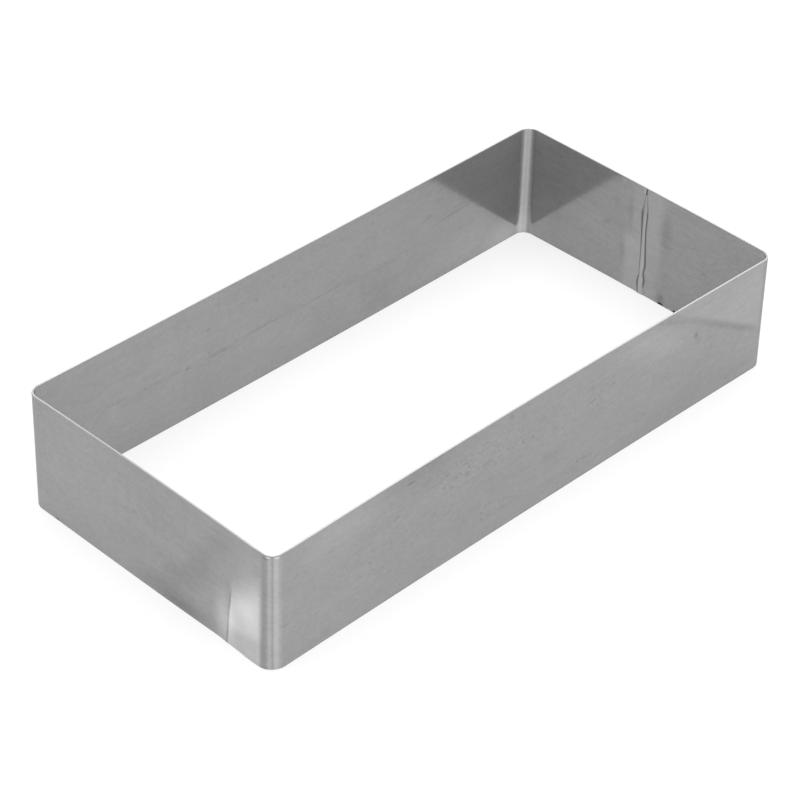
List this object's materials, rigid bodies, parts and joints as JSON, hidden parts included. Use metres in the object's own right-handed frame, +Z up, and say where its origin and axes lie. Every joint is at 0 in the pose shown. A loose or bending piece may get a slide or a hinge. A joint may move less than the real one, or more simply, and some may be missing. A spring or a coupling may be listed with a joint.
{
  "type": "rectangular mousse ring",
  "caption": "Bottomless rectangular pastry ring: a low stainless steel strip bent round four corners and butt welded in the middle of a short side.",
  "frame": {"origin": "centre of the ring's footprint, on the surface that it stands on", "axes": "+X along the long side, towards the short wall with the weld seam; +Y along the short side; +Z up"},
  "size_m": [0.238, 0.117, 0.046],
  "materials": {
    "rolled_steel": "bright cold rolled sheet, satin, with a faint grain along the strip",
    "weld_metal": "bare weld bead, rippled and slightly duller than the sheet"
  },
  "bodies": {
    "root": {"bent_strip": "rolled_steel", "seam_weld": "weld_metal"}
  },
  "joints": []
}
